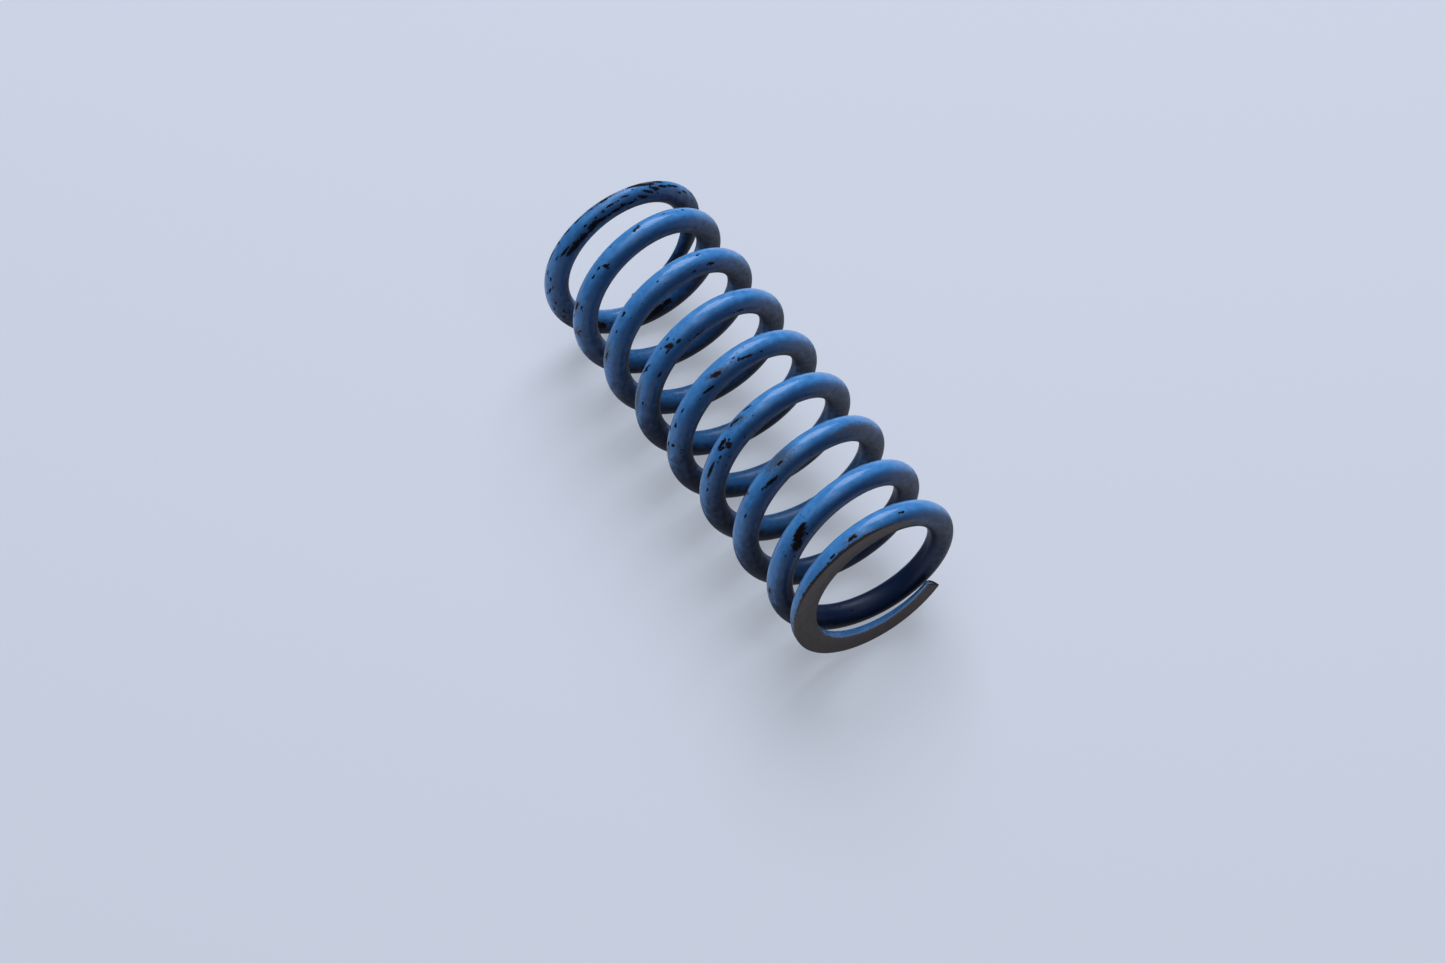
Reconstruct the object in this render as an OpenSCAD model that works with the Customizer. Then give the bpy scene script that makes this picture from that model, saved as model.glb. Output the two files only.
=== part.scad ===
// Helical compression spring wound from one round wire, right hand, with closed and ground ends.
// It lies on its side: the coil axis runs along X, the floor is z = 0, the front ground end faces +X.
// The wire is followed from its front tip to its rear tip and divided where planes through the
// coil axis cut it: two rigid end coils, and between them the active wire in equal arcs that
// slide along the coil axis as the spring is squeezed.

/* [Wire and coil] */
// Diameter of the wire, paint included
wire_d = 4; // [3:0.5:5]
// Mean coil diameter, from wire centre to wire centre
mean_d = 26; // [24:1:34]
// Free length between the two ground faces
free_length = 77.5; // [76:0.5:90]

/* [Front end] */
// Turns wound closed before the wire starts to open out
front_closed_turns = 0.75; // [0.7:0.01:0.8]
// Thickness of metal left at the front tip by grinding
front_tip_t = 1; // [0.6:0.1:1.4]
// Azimuth of the front tip about the coil axis, in degrees from +Y towards +Z
front_tip_az = -37.5; // [-37.5, 52.5, 142.5, -127.5]

/* [Rear end] */
// Turns wound closed before the wire starts to open out
rear_closed_turns = 0.6; // [0.6:0.01:0.7]
// Thickness of metal left at the rear tip by grinding
rear_tip_t = 0.3; // [0.3:0.1:1]

/* [Winding] */
// Clearance between closed turns
closed_gap = 0.02; // [0:0.01:0.05]
// Turns over which the closed pitch opens to the active pitch
opening_turns = 0.36; // [0.3:0.01:0.36]

/* [Hidden] */
// Planes through the coil axis that cut the wire into straight facets, in one turn
steps_per_turn = 24;
// Sides of the wire's cross-section
wire_sides = 16;
// Steps in each length of wire
front_steps = 30;
arc_steps = 6;
arc_count = 27;
rear_steps = 27;

step_angle = 360 / steps_per_turn;
total_steps = front_steps + arc_count * arc_steps + rear_steps;
total_turns = total_steps / steps_per_turn;
wire_r = wire_d / 2;
coil_r = mean_d / 2;
outer_r = coil_r + wire_r;
closed_pitch = wire_d + closed_gap;

// Depth of the wire's centre behind each ground face at its tip: negative, as it is ground past
front_tip_depth = front_tip_t - wire_r;
rear_tip_depth = rear_tip_t - wire_r;

// Turns at which the wire starts to open out, and to close again
opening_at = front_closed_turns;
closing_at = total_turns - rear_closed_turns - opening_turns;

// Pitch of the active turns, which makes up the rest of the free length
wound_length = free_length - front_tip_depth - rear_tip_depth;
active_pitch = closed_pitch + (wound_length - closed_pitch * total_turns) / (closing_at - opening_at);

enamel_blue = [0.16, 0.38, 0.68];
end_blue = [0.12, 0.30, 0.55];

// Name of one active arc, counted from the front
function arc_name(number) = str("active_arc_", number < 10 ? "0" : "", number);

// Integral of a smooth step that rises from 0 to 1 over the opening turns
function ramp_unit(t) = t <= 0 ? 0 : t < 1 ? t * t * t - pow(t, 4) / 2 : t - 0.5;
function ramp(turns) = opening_turns * ramp_unit(turns / opening_turns);

// Depth of the wire's centre behind the front ground face, at a number of turns from the front tip
function depth(turns) = front_tip_depth + closed_pitch * turns
    + (active_pitch - closed_pitch) * (ramp(turns - opening_at) - ramp(turns - closing_at));

// One point of the cross-section at a step. The facets lie outside the true circle of the coil,
// so that their middles touch it.
function wire_point(step, side) =
    let (
        azimuth = front_tip_az - step * step_angle,
        around = side * 360 / wire_sides,
        radius = (coil_r + wire_r * cos(around)) / cos(step_angle / 2)
    )
    [
        free_length / 2 - depth(step / steps_per_turn) + wire_r * sin(around),
        radius * cos(azimuth),
        outer_r + radius * sin(azimuth)
    ];

// The wire from one step to another, closed by flat faces that lie in planes through the coil axis
module wire_length(first, last) {
    rings = last - first;
    points = [
        for (step = [first:last])
            for (side = [0:wire_sides - 1])
                wire_point(step, side)
    ];
    walls = [
        for (ring = [0:rings - 1])
            for (side = [0:wire_sides - 1])
                let (
                    next = (side + 1) % wire_sides,
                    here = ring * wire_sides,
                    there = here + wire_sides
                )
                each [
                    [here + side, here + next, there + next],
                    [here + side, there + next, there + side]
                ]
    ];
    first_cap = [for (side = [wire_sides - 1:-1:0]) side];
    last_cap = [for (side = [0:wire_sides - 1]) rings * wire_sides + side];
    polyhedron(points, concat(walls, [first_cap, last_cap]));
}

// The space between the two grinding wheels
module between_ground_faces() {
    translate([-free_length / 2, -mean_d, -mean_d])
        cube([free_length, 2 * mean_d, 3 * mean_d]);
}

// Front end: closed turn with its ground seat, up to where the wire can first move
module front_end_coil() {
    color(end_blue)
        intersection() {
            wire_length(0, front_steps);
            between_ground_faces();
        }
}

// One arc of the active wire
module active_arc(number) {
    first = front_steps + (number - 1) * arc_steps;
    color(enamel_blue) wire_length(first, first + arc_steps);
}

// Rear end: closed turn with its ground seat
module rear_end_coil() {
    color(end_blue)
        intersection() {
            wire_length(total_steps - rear_steps, total_steps);
            between_ground_faces();
        }
}

front_end_coil();
for (number = [1:arc_count])
    active_arc(number);
rear_end_coil();
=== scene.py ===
import math

import bpy
import numpy as np
from mathutils import Matrix, Vector


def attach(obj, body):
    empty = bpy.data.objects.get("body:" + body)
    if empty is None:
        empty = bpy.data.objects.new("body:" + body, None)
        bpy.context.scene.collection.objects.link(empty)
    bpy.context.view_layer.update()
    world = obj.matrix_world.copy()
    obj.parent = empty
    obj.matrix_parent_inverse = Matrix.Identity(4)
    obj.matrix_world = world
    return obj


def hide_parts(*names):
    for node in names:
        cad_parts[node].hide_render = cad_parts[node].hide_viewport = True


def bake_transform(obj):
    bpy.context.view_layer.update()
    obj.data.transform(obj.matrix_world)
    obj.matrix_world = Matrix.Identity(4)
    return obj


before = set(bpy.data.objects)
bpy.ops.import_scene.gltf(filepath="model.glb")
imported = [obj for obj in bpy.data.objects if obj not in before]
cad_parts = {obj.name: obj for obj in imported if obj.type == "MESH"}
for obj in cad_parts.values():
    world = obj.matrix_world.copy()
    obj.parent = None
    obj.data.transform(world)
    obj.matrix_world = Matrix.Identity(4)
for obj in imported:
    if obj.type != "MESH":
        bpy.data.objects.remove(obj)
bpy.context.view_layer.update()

# ---------------------------------------------------------------- the wire's path, in mm, as in the CAD part
# A place on the wire is given in turns from its front tip. An angle round the wire is 0 outward, away
# from the coil's axis, and 90 degrees towards the front. An azimuth runs from +Y towards +Z.
WIRE_R = 2.0
COIL_R = 13.0
AXIS_Z = 15.0
# the ground faces lie at x = HALF and x = -HALF
HALF = 38.75
TURNS = 9.125
FRONT_AZ = -37.5
# depth of the wire's centre behind each ground face at its tip
FRONT_DEPTH = -1.0
REAR_DEPTH = -1.7
CLOSED_PITCH = 4.02
REAR_CLOSED = 0.6
# turns over which the pitch opens or closes, and where each of the two starts
OPENING = 0.36
OPENING_AT = 0.75
CLOSING_AT = TURNS - REAR_CLOSED - OPENING
WOUND_LENGTH = 2 * HALF - FRONT_DEPTH - REAR_DEPTH
ACTIVE_PITCH = CLOSED_PITCH + (WOUND_LENGTH - CLOSED_PITCH * TURNS) / (CLOSING_AT - OPENING_AT)
TURN_LENGTH = math.hypot(2 * math.pi * COIL_R, ACTIVE_PITCH)
# half the step over which the slope of the path is taken, in turns
SLOPE_STEP = 1e-4

# ---------------------------------------------------------------- the mesh
RINGS_PER_TURN = 256
SIDES = 72
SIDE_ANGLE = 2 * math.pi / SIDES
# radius of the rounded edge at each tip, in mm, and where its rings are on the quarter circle
TIP_ROUND = 0.22
ROUNDING = np.radians([75.0, 50.0, 25.0])
# the least that the rounding leaves of a ring
LEAST_RING = 0.05
# distance from a ground face that stands for nowhere near one, in mm
FAR = 9.0

# ---------------------------------------------------------------- the motion
# The travel between the two ends is made of STEPS equal steps, one at each join between two bodies along
# the wire. A turning piece lies across each join but the last, and the closing pieces lie across that one.
STEPS = 28
TURNING_START = 1.125
TURNING = 0.25
CLOSING_START = TURNING_START + TURNING * (STEPS - 1)
CLOSING_PARTS = 4
CLOSING_PART = TURNING / CLOSING_PARTS
REAR_START = CLOSING_START + TURNING

# ---------------------------------------------------------------- the paint
# azimuth that faced the spray, and azimuth of the side where dust has settled
SPRAY_AZ = 104
DUST_AZ = 25
# what the field of marks says away from them all
NO_MARK = -3.0
# the paint on the closing faces of the tips
TIP_FIELDS = {"seat": -1, "chips": NO_MARK, "rubs": NO_MARK, "coat_and_shade": 0.6, "painted_shade": 0, "dust": 0, "rust": NO_MARK}

# Chips: turns from the front tip, degrees round the wire, length along the wire and
# width across it in mm, and slant in degrees.
CHIPS = [
    # rear end coil
    (8.507, 60, 2.2, 0.9, 10), (8.522, 64, 2.6, 1.15, 0), (8.543, 69, 2.0, 1.0, -8), (8.560, 72, 1.2, 0.5, 0),
    (8.572, 62, 2.4, 1.15, -4), (8.590, 68, 2.0, 0.8, 6), (8.606, 72, 1.0, 0.5, 0), (8.622, 71, 2.4, 0.6, 3),
    (8.640, 66, 1.2, 0.5, 0), (8.655, 73, 1.9, 0.5, 0), (8.498, 37, 1.7, 0.6, 10), (8.510, 40, 0.7, 0.4, 0),
    (8.481, 20, 0.9, 0.35, 0), (8.560, 38, 0.8, 0.4, 0), (8.582, 41, 0.6, 0.3, 0), (8.600, 40, 0.8, 0.4, 0),
    (8.616, 35, 1.7, 0.4, 5), (8.632, 37, 0.8, 0.35, 0), (8.647, 32, 1.2, 0.4, 12), (8.684, 68, 1.8, 0.6, 10),
    (8.695, 48, 2.4, 0.5, 22), (8.712, 39, 2.2, 0.55, 14), (8.730, 33, 2.6, 0.6, 4), (8.748, 30, 1.6, 0.5, 0),
    (8.762, 28, 1.8, 0.45, -6), (8.676, 58, 0.9, 0.4, 0), (8.690, 12, 2.8, 0.5, 6), (8.706, 16, 1.4, 0.4, 0),
    (8.724, 8, 1.8, 0.45, 10), (8.476, -18, 2.4, 0.4, 0), (8.505, -15, 0.8, 0.35, 0), (8.532, -12, 1.2, 0.35, 0),
    (8.556, -9, 1.7, 0.35, 0), (8.585, -6, 0.9, 0.3, 0), (8.612, -3, 2.4, 0.4, 3), (8.675, 2, 3.2, 0.5, 2),
    (8.410, 28, 1.2, 0.45, 20), (8.420, 44, 0.7, 0.35, 0), (8.436, 25, 0.8, 0.4, 0), (8.444, 0, 1.0, 0.4, 0),
    (8.400, 12, 0.7, 0.3, 0), (8.312, 50, 1.2, 0.5, 0), (8.335, 61, 1.1, 0.55, 30), (8.352, 76, 1.1, 0.5, 0),
    (8.362, 34, 0.8, 0.45, 0), (8.380, 52, 0.8, 0.4, 0), (8.790, 40, 1.5, 0.4, 0), (8.820, 22, 1.2, 0.5, 0),
    (8.775, 52, 1.0, 0.4, 0), (8.098, 124, 4.6, 1.2, -10), (8.070, 134, 2.4, 1.0, 0), (8.124, 106, 2.0, 0.9, 0),
    (8.235, 110, 2.6, 1.3, 0), (8.930, 30, 1.8, 0.5, 6), (9.020, 60, 1.2, 0.5, 0), (8.180, -60, 1.6, 0.6, 0),
    # eighth turn
    (7.517, 12, 0.9, 0.42, 0), (7.534, 11, 1.0, 0.42, 0), (7.545, 29, 0.9, 0.55, 60), (7.548, 36, 0.8, 0.4, 0),
    (7.628, -8, 1.3, 0.5, 0), (7.575, -20, 0.6, 0.3, 0), (7.686, -10, 0.6, 0.3, 0), (7.731, -8, 0.5, 0.3, 0),
    (7.452, -3, 1.4, 0.6, 10), (7.456, 25, 0.8, 0.4, 0), (7.430, -11, 0.8, 0.35, 0), (7.401, 22, 0.9, 0.4, 50),
    (7.225, 84, 2.4, 0.9, 0), (7.120, -30, 1.6, 0.5, 0), (7.020, 40, 1.0, 0.5, 0),
    # seventh turn
    (6.520, -3, 1.0, 0.55, 0), (6.488, 12, 0.7, 0.3, 0), (6.600, 12, 0.7, 0.3, 0), (6.690, -5, 0.8, 0.3, 0),
    (6.668, 65, 1.0, 0.35, 0), (6.706, 56, 1.9, 0.45, 0), (6.436, 3, 1.2, 0.4, 0), (6.250, 30, 1.2, 0.5, 0),
    # sixth turn
    (5.549, 21, 1.5, 1.0, 50), (5.541, 31, 0.8, 0.5, 0), (5.566, 38, 1.0, 0.55, 0), (5.556, -10, 0.7, 0.4, 0),
    (5.492, -12, 1.7, 0.6, 12), (5.497, 60, 1.2, 0.5, 0), (5.432, 33, 0.7, 0.4, 0), (5.362, -4, 1.0, 0.5, 0),
    (5.600, 77, 2.6, 0.35, 0), (5.700, 79, 2.0, 0.35, 0), (5.180, 60, 1.4, 0.6, 0),
    # fifth turn
    (4.582, 22, 1.8, 0.75, 25), (4.556, 46, 2.4, 0.5, 14), (4.640, 41, 3.6, 0.4, 10), (4.622, 14, 0.6, 0.3, 0),
    (4.470, 5, 1.0, 0.5, 0), (4.500, 5, 0.9, 0.42, 0), (4.431, 22, 0.9, 0.55, 60), (4.428, -6, 1.3, 0.5, 0),
    (4.455, -20, 0.7, 0.35, 0), (4.120, 70, 1.6, 0.6, 0),
    # fourth turn
    (3.520, 3, 2.4, 0.75, 0), (3.526, 31, 1.1, 1.1, 70), (3.514, 18, 0.9, 0.6, 0), (3.562, -19, 1.9, 0.5, 20),
    (3.590, -29, 1.8, 0.45, 14), (3.470, 18, 3.4, 0.55, 0), (3.432, 30, 0.8, 0.4, 0), (3.500, 31, 0.7, 0.4, 0),
    # third turn
    (2.545, 40, 2.6, 0.65, 10), (2.500, -40, 1.4, 0.7, 40), (2.576, 11, 1.0, 0.4, 0), (2.470, 25, 0.8, 0.4, 0),
    # second turn
    (1.529, 36, 3.2, 1.6, -16), (1.512, 58, 2.6, 1.5, 0), (1.545, 22, 1.0, 0.6, 0), (1.401, 8, 0.9, 0.5, 0),
    # front end coil
    (0.594, 12, 1.5, 0.55, 0), (0.470, 16, 1.0, 0.4, 0), (0.552, 18, 1.2, 0.45, 0), (0.690, 22, 1.3, 0.4, 0),
]
# places where the paint is scuffed thin, same columns
RUBS = [
    (6.437, -6, 5.0, 2.2, 0), (5.435, -6, 7.0, 1.8, 0), (4.584, 20, 4.2, 1.5, 18), (4.415, -4, 3.2, 1.4, 0),
    (2.580, -8, 6.5, 4.2, 0), (2.500, -44, 3.0, 2.2, 0), (3.560, -18, 5.0, 1.6, 20), (7.400, 20, 2.2, 3.0, 0),
    (7.452, -4, 2.8, 1.6, 0), (1.400, 8, 2.6, 1.8, 0), (2.740, 45, 12.0, 2.6, 0), (8.700, 6, 6.0, 1.4, 4),
    (8.610, -6, 9.0, 1.0, 4), (3.300, 25, 6.0, 2.6, 0), (6.330, 20, 6.0, 2.2, 0), (0.595, 14, 3.0, 1.2, 0),
]
# rusty middles of chips, same columns
RUST = [
    (5.549, 21, 1.2, 0.9, 50), (4.582, 22, 2.2, 0.9, 25), (3.526, 31, 0.8, 0.8, 70), (8.562, -9, 2.4, 0.5, 0),
]


def smooth(value, low, high):
    """0 below low, 1 above high, smooth between."""
    t = np.clip((value - low) / (high - low), 0, 1)
    return t * t * (3 - 2 * t)


def off_angle(angle, middle):
    """The angle measured from a middle one, between -pi and pi."""
    return np.mod(angle - middle + math.pi, 2 * math.pi) - math.pi


# ---------------------------------------------------------------- the wire's shape
def ramp(turns):
    """Integral of a smooth step that rises from 0 to 1 over the opening turns."""
    t = turns / OPENING
    return OPENING * np.where(t <= 0, 0, np.where(t < 1, t ** 3 - t ** 4 / 2, t - 0.5))


def centre_x(u):
    opened = ramp(u - OPENING_AT) - ramp(u - CLOSING_AT)
    return HALF - FRONT_DEPTH - CLOSED_PITCH * u - (ACTIVE_PITCH - CLOSED_PITCH) * opened


def wire_frame(u):
    """Centre, tangent, outward and frontward directions of the wire, u turns from its front tip."""
    az = np.radians(FRONT_AZ - 360 * u)
    slope = (centre_x(u + SLOPE_STEP) - centre_x(u - SLOPE_STEP)) / (2 * SLOPE_STEP)
    around = 2 * math.pi * COIL_R
    out = np.stack([0 * az, np.cos(az), np.sin(az)], -1)
    tangent = np.stack([slope, around * np.sin(az), -around * np.cos(az)], -1)
    tangent /= np.linalg.norm(tangent, axis=-1, keepdims=True)
    centre = np.stack([centre_x(u), COIL_R * np.cos(az), AXIS_Z + COIL_R * np.sin(az)], -1)
    return centre, tangent, out, np.cross(tangent, out)


def ring_places(u0, u1, front_tip, rear_tip):
    """Turns at which the rings are, how much each is shrunk in mm, and how far its normals lean in degrees.

    Only the rings that round a tip are shrunk and lean."""
    count = int(round((u1 - u0) * RINGS_PER_TURN))
    turns = u0 + (u1 - u0) * np.arange(count + 1) / count
    shrunk = np.zeros(count + 1)
    lean = np.zeros(count + 1)
    from_tip = TIP_ROUND * (1 - np.sin(ROUNDING)) / TURN_LENGTH
    inset = TIP_ROUND * (1 - np.cos(ROUNDING))
    angles = np.degrees(ROUNDING)
    if front_tip:
        turns[0] = u0 + TIP_ROUND / TURN_LENGTH
        turns = np.concatenate([[u0], u0 + from_tip, turns])
        shrunk = np.concatenate([[TIP_ROUND], inset, shrunk])
        lean = np.concatenate([[-90.0], -angles, lean])
    if rear_tip:
        turns[-1] = u1 - TIP_ROUND / TURN_LENGTH
        turns = np.concatenate([turns, u1 - from_tip[::-1], [u1]])
        shrunk = np.concatenate([shrunk, inset[::-1], [TIP_ROUND]])
        lean = np.concatenate([lean, angles[::-1], [90.0]])
    return turns, shrunk, lean


def grind(centre, side, th, across, forward):
    """Flatten the rings where they pass a ground face.

    Gives which points lie on the flat, which on its edge, and each one's distance from that edge in mm,
    negative on the flat."""
    flat = np.zeros(th.shape, bool)
    edge = np.zeros(th.shape, bool)
    lip = np.full(th.shape, FAR)
    for sign in (1, -1):
        middle = sign * math.pi / 2
        cut = (HALF - sign * centre[:, 0]) / side[:, 0]
        for i in np.nonzero(cut < WIRE_R)[0]:
            width = math.sqrt(WIRE_R ** 2 - cut[i] ** 2)
            half_angle = math.pi / 2 - math.asin(cut[i] / WIRE_R)
            low = int(round((middle - half_angle) / SIDE_ANGLE))
            high = int(round((middle + half_angle) / SIDE_ANGLE))
            outside = np.abs(off_angle(th[i], middle)) - half_angle
            lip[i] = np.where(lip[i] < FAR, lip[i], np.maximum(outside, 0) * WIRE_R)
            if high - low < 2:
                continue
            on = np.arange(low, high + 1)
            spread = np.clip((on * SIDE_ANGLE - middle) / half_angle, -1, 1)
            spread[0], spread[-1] = -1, 1
            flat[i, on % SIDES] = True
            edge[i, on[[0, -1]] % SIDES] = True
            th[i, on % SIDES] = middle + half_angle * spread
            across[i, on % SIDES] = -sign * width * spread
            forward[i, on % SIDES] = sign * cut[i]
            lip[i, on % SIDES] = -width * (1 - np.abs(spread))
    return flat, edge, lip


def faces_between_rings(flat, edge):
    """Faces of the wire, and whether each lies on a ground face.

    A quad that the edge of a ground face crosses is split into two triangles along it."""
    faces, on_flat = [], []
    for i in range(len(flat) - 1):
        for j in range(SIDES):
            k = (j + 1) % SIDES
            a, b, c, d = i * SIDES + j, i * SIDES + k, (i + 1) * SIDES + k, (i + 1) * SIDES + j
            inside = flat[i, j], flat[i, k], flat[i + 1, k], flat[i + 1, j]
            edges = edge[i, j], edge[i, k], edge[i + 1, k], edge[i + 1, j]
            if all(inside) or sum(inside) < 3:
                faces.append((a, b, c, d))
                on_flat.append(all(inside) and not all(edges))
            elif edges[0] and edges[2]:
                faces += [(a, b, c), (a, c, d)]
                on_flat += [inside[1], inside[3]]
            else:
                faces += [(a, b, d), (b, c, d)]
                on_flat += [inside[0], inside[2]]
    return faces, on_flat


def marks(u, th, rows):
    """1 in the middle of the nearest mark, 0 on its outline, falling to NO_MARK away from it."""
    field = np.full(u.shape, NO_MARK)
    for turns, angle, length, width, slant in rows:
        along = (u - turns) * TURN_LENGTH
        across = off_angle(th, math.radians(angle)) * WIRE_R
        c, s = math.cos(math.radians(slant)), math.sin(math.radians(slant))
        a = (along * c + across * s) / (length / 2)
        b = (across * c - along * s) / (width / 2)
        field = np.maximum(field, 1 - np.sqrt(a * a + b * b))
    return field


def paint_fields(u, th, across, forward, lip):
    """What the material needs to know at each point of the wire."""
    az = np.radians(FRONT_AZ - 360 * u)
    front_half = u <= TURNS / 2

    # coat: thick where the wire faced the spray, and a little thicker on the -Y side of the rear turns; where it
    # is thin, the wire is dark with grime and with painted shade of the undersides
    spray = np.cos(az - math.radians(SPRAY_AZ))
    coat_and_shade = across / WIRE_R * spray + 0.4 * (1 - np.abs(across) / WIRE_R) * spray
    coat_and_shade = coat_and_shade + 0.2 * smooth(u, 5.5, 7.0) * smooth(-np.cos(az), 0, 0.6)

    # dust: on the side of the coil that faces DUST_AZ, but not on the inner side of the wire
    dust = smooth(np.cos(az - math.radians(DUST_AZ)), 0.45, 0.95) * smooth(across / WIRE_R, -0.6, 0.1)

    # painted shade of the inner and frontward sides, weaker on the rear turns and at the front tip
    inner = smooth(-across / WIRE_R, -0.1, 0.5) * (1 - 0.50 * smooth(u, 1.6, 3.4) - 0.15 * smooth(u, 3.4, 6.5))
    frontward = (0.85 - 0.10 * smooth(u, 2.5, 5.5)) * smooth(forward / WIRE_R, 0.2, 0.9)
    painted_shade = np.maximum(inner, frontward) * (0.3 + 0.7 * smooth(u, 0.4, 0.7))

    # seat: how far bare steel reaches past the edge of each ground face, negative where paint laps onto it
    bare_reach = np.where(front_half, np.where(across > 0, 0.10 + 0.35 * smooth(u, 0.3, 0.5), 0.1), -0.12)
    bare_reach = bare_reach - 0.6 * smooth(u, 0.58, 0.74) * front_half
    bare_reach = bare_reach - 0.7 * smooth(-across, 0, 0.5) * (1 - smooth(u, 0.22, 0.42))

    return {
        "wire": np.stack([u * TURN_LENGTH, across, forward], -1).reshape(-1, 3),
        "seat": (bare_reach - lip).ravel(),
        "chips": marks(u, th, CHIPS).ravel(),
        "rubs": marks(u, th, RUBS).ravel(),
        "coat_and_shade": coat_and_shade.ravel(),
        "painted_shade": painted_shade.ravel(),
        "dust": dust.ravel(),
        "rust": marks(u, th, RUST).ravel(),
    }


def add_mesh(name, verts, faces, corner_normals, fields):
    """Mesh object from quads and triangles, with its own normals and the material's fields."""
    mesh = bpy.data.meshes.new(name)
    mesh.from_pydata(verts.tolist(), [], faces)
    mesh.update()
    for key, values in fields.items():
        kind, slot = ("FLOAT_VECTOR", "vector") if values.ndim == 2 else ("FLOAT", "value")
        attribute = mesh.attributes.new(key, kind, "POINT")
        attribute.data.foreach_set(slot, values.astype(np.float32).ravel())
    mesh.polygons.foreach_set("use_smooth", np.ones(len(mesh.polygons), bool))
    mesh.normals_split_custom_set(corner_normals.tolist())
    obj = bpy.data.objects.new(name, mesh)
    bpy.context.collection.objects.link(obj)
    return obj


def wire_piece(name, u0, u1, front_tip=False, rear_tip=False):
    """The wire from u0 to u1 turns, flat where it passes the ground faces, its tips closed and rounded."""
    ring_u, ring_shrunk, ring_lean = ring_places(u0, u1, front_tip, rear_tip)
    rings = len(ring_u)
    centre, tangent, out, side = wire_frame(ring_u)
    th = np.tile(np.arange(SIDES) * SIDE_ANGLE, (rings, 1))
    across, forward = WIRE_R * np.cos(th), WIRE_R * np.sin(th)
    flat, edge, lip = grind(centre, side, th, across, forward)

    # points, and the normals of the round wire and of the ground faces
    points = centre[:, None] + across[..., None] * out[:, None] + forward[..., None] * side[:, None]
    points[..., 0] = np.clip(points[..., 0], -HALF, HALF)
    normal = np.cos(th)[..., None] * out[:, None] + np.sin(th)[..., None] * side[:, None]
    plane = np.zeros_like(normal)
    plane[..., 0] = np.sign(points[..., 0])

    # rounded tips: each ring shrinks towards its own middle, and its normals lean towards the tip
    for i in np.nonzero(ring_shrunk > 0)[0]:
        middle = points[i].mean(0)
        from_middle = points[i] - middle
        length = np.linalg.norm(from_middle, axis=-1, keepdims=True)
        points[i] = middle + from_middle * np.clip(1 - ring_shrunk[i] / length, LEAST_RING, 1)
    lean = np.radians(ring_lean)[:, None, None]
    normal = normal * np.cos(lean) + tangent[:, None] * np.sin(lean)
    plane = plane * np.cos(lean) + tangent[:, None] * np.sin(lean)

    verts = points.reshape(-1, 3)
    faces, on_flat = faces_between_rings(flat, edge)
    loops_vert = np.array([vert for face in faces for vert in face])
    loops_flat = np.array([is_flat for face, is_flat in zip(faces, on_flat) for _ in face])
    corner_normals = np.where(loops_flat[:, None], plane.reshape(-1, 3)[loops_vert],
                              normal.reshape(-1, 3)[loops_vert])
    fields = paint_fields(np.broadcast_to(ring_u[:, None], th.shape), th, across, forward, lip)

    # closing faces of the tips
    for is_tip, ring, sense in ((front_tip, 0, -1), (rear_tip, rings - 1, 1)):
        if not is_tip:
            continue
        hub = len(verts)
        verts = np.concatenate([verts, [points[ring].mean(0)]])
        fields["wire"] = np.append(fields["wire"], [[ring_u[ring] * TURN_LENGTH, 0, 0]], axis=0)
        for key, value in TIP_FIELDS.items():
            fields[key] = np.append(fields[key], value)
        for j in range(SIDES):
            k = (j + 1) % SIDES
            pair = (ring * SIDES + k, ring * SIDES + j)
            faces.append((pair if sense < 0 else pair[::-1]) + (hub,))
        corner_normals = np.concatenate([corner_normals, np.tile(tangent[ring] * sense, (3 * SIDES, 1))])
    return add_mesh(name, verts / 1000, faces, corner_normals, fields)


# ---------------------------------------------------------------- material
BLUE = (0.066, 0.275, 0.650, 1)
BRIGHT_BLUE = (0.100, 0.370, 0.800, 1)
STREAK_BLUE = (0.056, 0.225, 0.540, 1)
# painted shade of the inner and frontward sides
SHADE_BLUE = (0.009, 0.027, 0.085, 1)
# grime, which also stands for painted shade of the undersides
GRIME_AND_SHADE = (0.004, 0.009, 0.024, 1), (0.012, 0.020, 0.042, 1)
DUSTY = (0.014, 0.020, 0.034, 1), (0.034, 0.042, 0.064, 1)
OXIDE = (0.003, 0.003, 0.005, 1), (0.024, 0.012, 0.010, 1)
RUST_RED = (0.030, 0.009, 0.012, 1)
STEEL = (0.046, 0.039, 0.036, 1), (0.084, 0.070, 0.064, 1)
BROWN_STEEL = (0.088, 0.056, 0.043, 1)
SCUFFED = (0.030, 0.032, 0.040, 1), (0.110, 0.112, 0.125, 1)

# roughness and specular level of each surface
ROUGH_PAINT, ROUGH_GRIME, ROUGH_DEEP, ROUGH_SCUFFED, ROUGH_OXIDE, ROUGH_STEEL = 0.20, 0.66, 0.42, 0.5, 0.62, 0.48
SPECULAR_PAINT, SPECULAR_GRIME, SPECULAR_OXIDE = 0.42, 0.12, 0.15
# how metallic the ground faces are: less than 1, as they are dull and dirty
METALLIC_STEEL = 0.55

# heights of the bump, and the depth in metres that a height of 1 stands for
HEIGHT_BARE, HEIGHT_GRAIN, HEIGHT_ORANGE_PEEL, HEIGHT_SCRATCHES = -1.0, 0.10, 0.35, 0.25
PAINT_THICKNESS = 0.00008
BUMP_STRENGTH = 0.6


def set_inputs(tree, made, inputs):
    """Link each input to the socket given for it, or set it to the number or colour given."""
    for key, value in inputs.items():
        if isinstance(value, bpy.types.NodeSocket):
            tree.links.new(value, made.inputs[key])
        else:
            made.inputs[key].default_value = value


def node(tree, kind, inputs=None, **settings):
    made = tree.nodes.new(kind)
    for key, value in settings.items():
        setattr(made, key, value)
    set_inputs(tree, made, inputs or {})
    return made


def maths(tree, operation, a, b):
    return node(tree, "ShaderNodeMath", {0: a, 1: b}, operation=operation).outputs[0]


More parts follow.
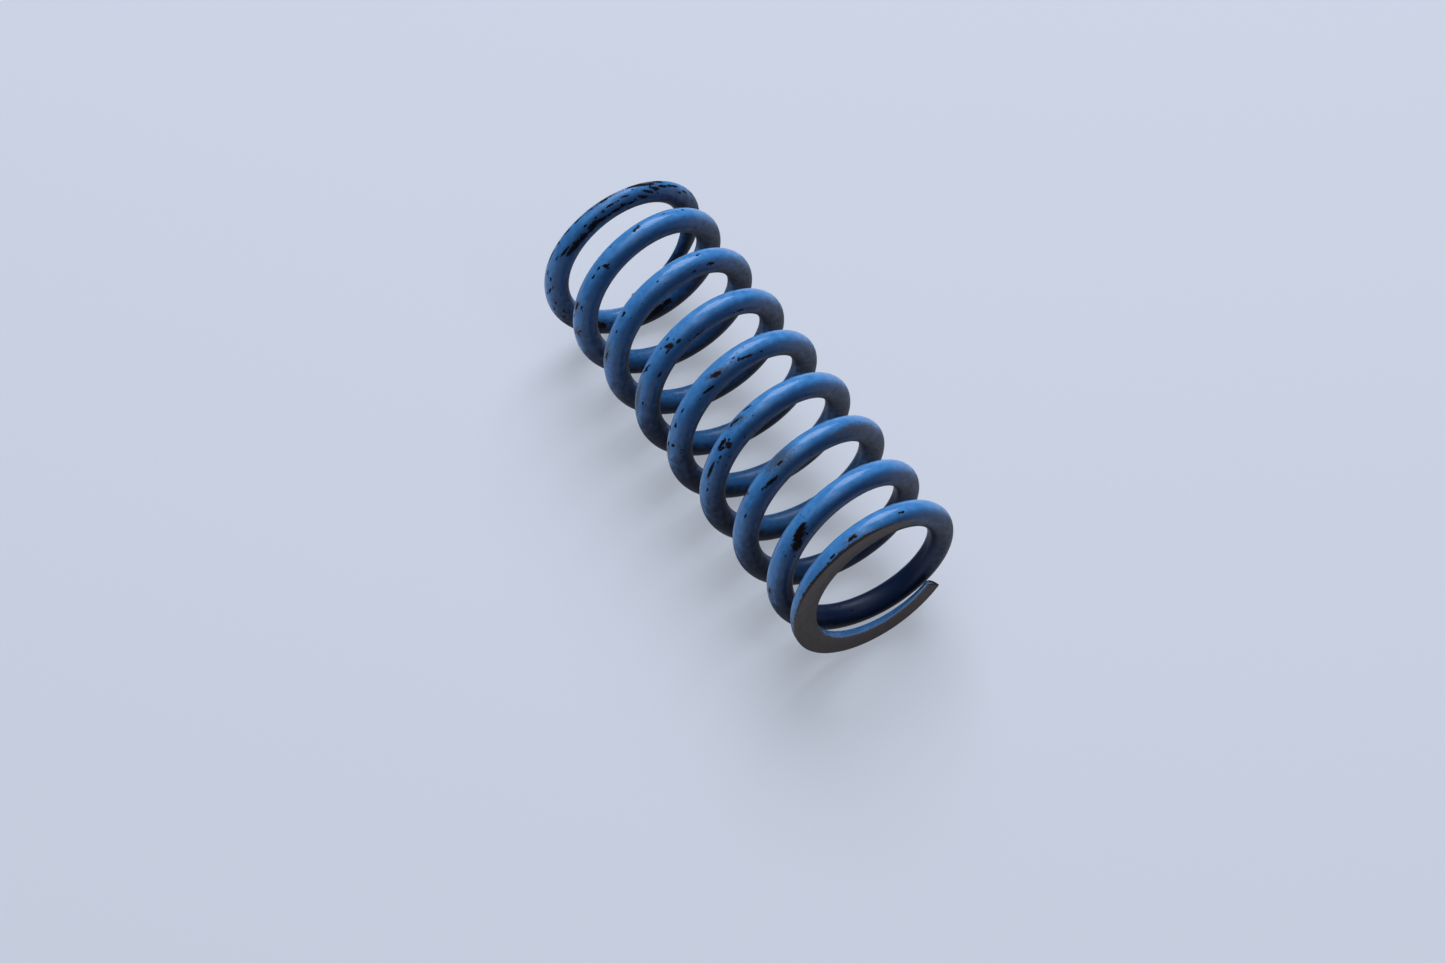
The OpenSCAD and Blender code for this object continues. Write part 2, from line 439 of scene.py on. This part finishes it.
def vary(tree, value, pattern, amount):
    """The value with a pattern added that swings it by up to half the amount either way."""
    return maths(tree, "ADD", value, maths(tree, "MULTIPLY", maths(tree, "SUBTRACT", pattern, 0.5), amount))


def step_up(tree, value, low, high):
    """0 below low, 1 above high, smooth between."""
    return node(tree, "ShaderNodeMapRange", {"Value": value, "From Min": low, "From Max": high},
                interpolation_type="SMOOTHSTEP").outputs["Result"]


def noise(tree, vector, scale, detail=3.0, roughness=0.55):
    return node(tree, "ShaderNodeTexNoise", {"Vector": vector, "Scale": scale, "Detail": detail,
                                             "Roughness": roughness}).outputs["Fac"]


def stretched(tree, vector, along, across):
    return node(tree, "ShaderNodeVectorMath", {0: vector, 1: (along, across, across)},
                operation="MULTIPLY").outputs[0]


def mix_colour(tree, factor, a, b):
    return node(tree, "ShaderNodeMix", {0: factor, 6: a, 7: b}, data_type="RGBA").outputs[2]


def mix_value(tree, factor, a, b):
    return node(tree, "ShaderNodeMix", {0: factor, 2: a, 3: b}, data_type="FLOAT").outputs[0]


def enamel_material():
    material = bpy.data.materials.new("chipped_blue_enamel")
    material.use_nodes = True
    tree = material.node_tree
    tree.nodes.clear()

    def field(name, output="Fac"):
        return node(tree, "ShaderNodeAttribute", attribute_type="GEOMETRY", attribute_name=name).outputs[output]

    wire = field("wire", "Vector")
    chips, rubs, rust, seat_field = (field(name) for name in ("chips", "rubs", "rust", "seat"))
    coat_and_shade, painted_shade, dust = (field(name) for name in ("coat_and_shade", "painted_shade", "dust"))

    # patterns, in mm along and round the straightened wire
    broad = noise(tree, stretched(tree, wire, 0.6, 1.0), 0.35, 2.0)
    patchy = noise(tree, stretched(tree, wire, 0.7, 1.0), 1.1, 4.0, 0.6)
    ragged = noise(tree, wire, 2.6, 4.0, 0.6)
    fine = noise(tree, wire, 9.0, 3.0, 0.6)
    streaks = noise(tree, stretched(tree, wire, 0.12, 1.0), 5.0, 3.0, 0.6)

    # how much paint: thin where the wire faced away from the spray, and where it is scuffed; where it is thin,
    # the dark beneath is grime and painted shade of the undersides
    cover_and_shade = vary(tree, coat_and_shade, patchy, 0.55)
    cover_and_shade = vary(tree, cover_and_shade, fine, 0.35)
    cover_and_shade = step_up(tree, cover_and_shade, -0.12, 0.50)
    scuff = vary(tree, rubs, ragged, 2.2)
    scuff = maths(tree, "MULTIPLY", step_up(tree, scuff, -0.15, 0.75), 0.8)

    # chips: the listed ones with a ragged outline
    chip = vary(tree, chips, ragged, 1.7)
    chip = vary(tree, chip, fine, 1.5)
    chip = step_up(tree, chip, 0.02, 0.16)

    # and small specks, in some areas and near the chips
    cells = node(tree, "ShaderNodeTexVoronoi", {"Vector": stretched(tree, wire, 0.7, 1.0), "Scale": 1.15,
                                               "Randomness": 1.0}).outputs["Distance"]
    speck_size = maths(tree, "MULTIPLY", step_up(tree, broad, 0.52, 0.66), 0.16)
    near_chips = maths(tree, "MULTIPLY", step_up(tree, chips, -2.0, -0.6), 0.20)
    speck_size = maths(tree, "MAXIMUM", speck_size, near_chips)
    speck = maths(tree, "SUBTRACT", speck_size, vary(tree, cells, fine, 0.22))
    speck = step_up(tree, speck, -0.01, 0.03)
    bare = maths(tree, "MAXIMUM", chip, speck)

    # ground faces, with a ragged paint line at their edge
    seat = vary(tree, seat_field, ragged, 0.9)
    seat = vary(tree, seat, patchy, 0.5)
    seat = step_up(tree, seat, -0.05, 0.08)

    # colours: paint, darkened on its inner and frontward sides as painted shade, over a grimy undercoat that is
    # also painted shade of the undersides, scuffs, oxide in the chips, and steel on the ground faces
    blue = mix_colour(tree, step_up(tree, patchy, 0.3, 0.7), BLUE, BRIGHT_BLUE)
    blue = mix_colour(tree, step_up(tree, streaks, 0.55, 0.8), blue, STREAK_BLUE)
    # painted shade: the paint turns navy on the inner and frontward sides
    blue = mix_colour(tree, painted_shade, blue, SHADE_BLUE)
    grime_and_shade = mix_colour(tree, patchy, *GRIME_AND_SHADE)
    dusty = mix_colour(tree, patchy, *DUSTY)
    grime_and_shade = mix_colour(tree, dust, grime_and_shade, dusty)
    oxide = mix_colour(tree, step_up(tree, ragged, 0.50, 0.70), *OXIDE)
    oxide = mix_colour(tree, step_up(tree, vary(tree, rust, fine, 1.2), 0.0, 0.35), oxide, RUST_RED)
    steel = mix_colour(tree, streaks, *STEEL)
    steel = mix_colour(tree, step_up(tree, patchy, 0.48, 0.68), steel, BROWN_STEEL)
    scuffed = mix_colour(tree, ragged, *SCUFFED)
    # where the paint is thin: grime, and painted shade of the undersides
    colour = mix_colour(tree, cover_and_shade, grime_and_shade, blue)
    colour = mix_colour(tree, scuff, colour, scuffed)
    colour = mix_colour(tree, bare, colour, oxide)
    colour = mix_colour(tree, seat, colour, steel)

    rough = mix_value(tree, cover_and_shade, ROUGH_GRIME, ROUGH_PAINT)
    rough = vary(tree, rough, patchy, 0.20)
    rough = mix_value(tree, painted_shade, rough, ROUGH_DEEP)
    rough = mix_value(tree, scuff, rough, ROUGH_SCUFFED)
    rough = mix_value(tree, bare, rough, ROUGH_OXIDE)
    rough = mix_value(tree, seat, rough, ROUGH_STEEL)
    metal = maths(tree, "MULTIPLY", seat, METALLIC_STEEL)
    specular = mix_value(tree, cover_and_shade, SPECULAR_GRIME, SPECULAR_PAINT)
    specular = mix_value(tree, bare, specular, SPECULAR_OXIDE)

    # bump: bare places are sunk by the paint's thickness, the paint has orange peel, the steel has scratches
    height = maths(tree, "MULTIPLY", maths(tree, "MAXIMUM", bare, seat), HEIGHT_BARE)
    height = maths(tree, "ADD", height, maths(tree, "MULTIPLY", fine, HEIGHT_GRAIN))
    height = maths(tree, "ADD", height, maths(tree, "MULTIPLY", patchy, HEIGHT_ORANGE_PEEL))
    scratches = maths(tree, "MULTIPLY", maths(tree, "MULTIPLY", streaks, seat), HEIGHT_SCRATCHES)
    height = maths(tree, "ADD", height, scratches)
    bump = node(tree, "ShaderNodeBump", {"Height": height, "Strength": BUMP_STRENGTH,
                                         "Distance": PAINT_THICKNESS}).outputs["Normal"]

    shader = node(tree, "ShaderNodeBsdfPrincipled", {
        "Base Color": colour, "Roughness": rough, "Metallic": metal, "Normal": bump, "IOR": 1.5,
        "Specular IOR Level": specular})
    output = node(tree, "ShaderNodeOutputMaterial", {"Surface": shader.outputs["BSDF"]})
    output.is_active_output = True
    return material


# ---------------------------------------------------------------- pieces
enamel = enamel_material()
arc_nodes = ["active_arc_%02d" % number for number in range(1, STEPS)]


def finish_piece(obj, nodes):
    obj.data.materials.append(enamel)
    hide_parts(*nodes)


def middle_of(u):
    """The wire's centre at u turns, in metres, and its direction there, square to the coil's axis."""
    centre, tangent = wire_frame(np.array([u]))[:2]
    along = Vector((0, tangent[0][1], tangent[0][2])).normalized()
    return Vector(centre[0] / 1000), along


front = wire_piece("wire_front_end", 0.0, TURNING_START, front_tip=True)
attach(front, "front_end")
finish_piece(front, ["front_end_coil"])

for number in range(1, STEPS):
    u0 = TURNING_START + TURNING * (number - 1)
    obj = wire_piece("wire_turning_%02d" % number, u0, u0 + TURNING)
    middle, along = middle_of(u0 + TURNING / 2)
    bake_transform(obj)
    finish_piece(obj, arc_nodes[max(number - 2, 0):number])

# No joint links the last arc to the rear end, so the last quarter turn is made in parts of its own.
for part in range(CLOSING_PARTS):
    u0 = CLOSING_START + CLOSING_PART * part
    obj = wire_piece("wire_closing_%d" % (part + 1), u0, u0 + CLOSING_PART)
    middle, along = middle_of(u0 + CLOSING_PART / 2)
    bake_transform(obj)
    finish_piece(obj, [arc_nodes[-1]])

rear = wire_piece("wire_rear_end", REAR_START, TURNS, rear_tip=True)
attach(rear, "rear_end")
finish_piece(rear, ["rear_end_coil"])

# ---------------------------------------------------------------- floor
FLOOR_SIZE = 6
FLOOR_COLOUR = (0.43, 0.43, 0.47, 1)
# the floor glows a little, in place of the light that a whole bright room would send back from it
GLOW_COLOUR = (0.80, 0.88, 1.0, 1)
GLOW_STRENGTH = 0.38

bpy.ops.mesh.primitive_plane_add(size=FLOOR_SIZE, location=(0, 0, 0))
floor = bpy.context.object
floor.name = "floor"
paper = bpy.data.materials.new("pale_floor")
paper.use_nodes = True
paper_shader = paper.node_tree.nodes["Principled BSDF"]
paper_shader.inputs["Base Color"].default_value = FLOOR_COLOUR
paper_shader.inputs["Roughness"].default_value = 0.85
paper_shader.inputs["Emission Color"].default_value = GLOW_COLOUR
paper_shader.inputs["Emission Strength"].default_value = GLOW_STRENGTH
floor.data.materials.append(paper)

# ---------------------------------------------------------------- light
# a soft window, a pale ceiling with a strip light, and a dim room
ROOM_COLOUR = (0.78, 0.84, 1.0, 1)
ROOM_STRENGTH = 0.05
DAYLIGHT = (0.80, 0.87, 1.0)
STRIP_LIGHT = (0.85, 0.90, 1.0)
# name, place in metres, size along its two sides in metres, power in watts, colour
LIGHTS = [
    ("window", (-0.62, 0.50, 1.00), (0.9, 0.9), 12.5, DAYLIGHT),
    ("ceiling", (-0.2, -0.3, 2.0), (1.8, 1.2), 6.0, DAYLIGHT),
    ("ceiling_strip", (0.32, 0.10, 1.0), (0.03, 1.4), 1.2, STRIP_LIGHT),
]

world = bpy.data.worlds.new("room")
bpy.context.scene.world = world
world.use_nodes = True
world.node_tree.nodes["Background"].inputs["Color"].default_value = ROOM_COLOUR
world.node_tree.nodes["Background"].inputs["Strength"].default_value = ROOM_STRENGTH

for name, light_place, size, power, colour in LIGHTS:
    data = bpy.data.lights.new(name, "AREA")
    data.shape = "RECTANGLE"
    data.size, data.size_y = size
    data.energy = power
    data.color = colour
    light = bpy.data.objects.new(name, data)
    bpy.context.collection.objects.link(light)
    light.location = light_place
    # it points at the floor under the spring
    light.rotation_euler = (-Vector(light_place)).to_track_quat("-Z", "Y").to_euler()

# ---------------------------------------------------------------- camera at the photo's angle
# angle round the vertical and angle above the floor, in degrees
CAMERA_TURN = 58.82
CAMERA_RISE = 53.41
# distance from the middle of the spring, and how far left and down the camera is moved, in metres
CAMERA_BACK = 0.5052
CAMERA_LEFT = 0.00356
CAMERA_DOWN = 0.01109
# in mm, fitted to the photo together with the distance
FOCAL_LENGTH = 79.72
SENSOR_WIDTH = 36

turn, rise = math.radians(CAMERA_TURN), math.radians(CAMERA_RISE)
right = Vector((math.cos(turn), math.sin(turn), 0))
back = Vector((math.sin(turn) * math.cos(rise), -math.cos(turn) * math.cos(rise), math.sin(rise)))
up = back.cross(right)
lens = bpy.data.cameras.new("camera")
lens.sensor_width = SENSOR_WIDTH
lens.lens = FOCAL_LENGTH
lens.clip_start = 0.01
camera = bpy.data.objects.new("camera", lens)
bpy.context.collection.objects.link(camera)
camera_place = Vector((0, 0, AXIS_Z / 1000)) + back * CAMERA_BACK - right * CAMERA_LEFT - up * CAMERA_DOWN
camera.matrix_world = Matrix.Translation(camera_place) @ Matrix((right, up, back)).transposed().to_4x4()
bpy.context.scene.camera = camera
bpy.context.scene.view_settings.view_transform = "Standard"
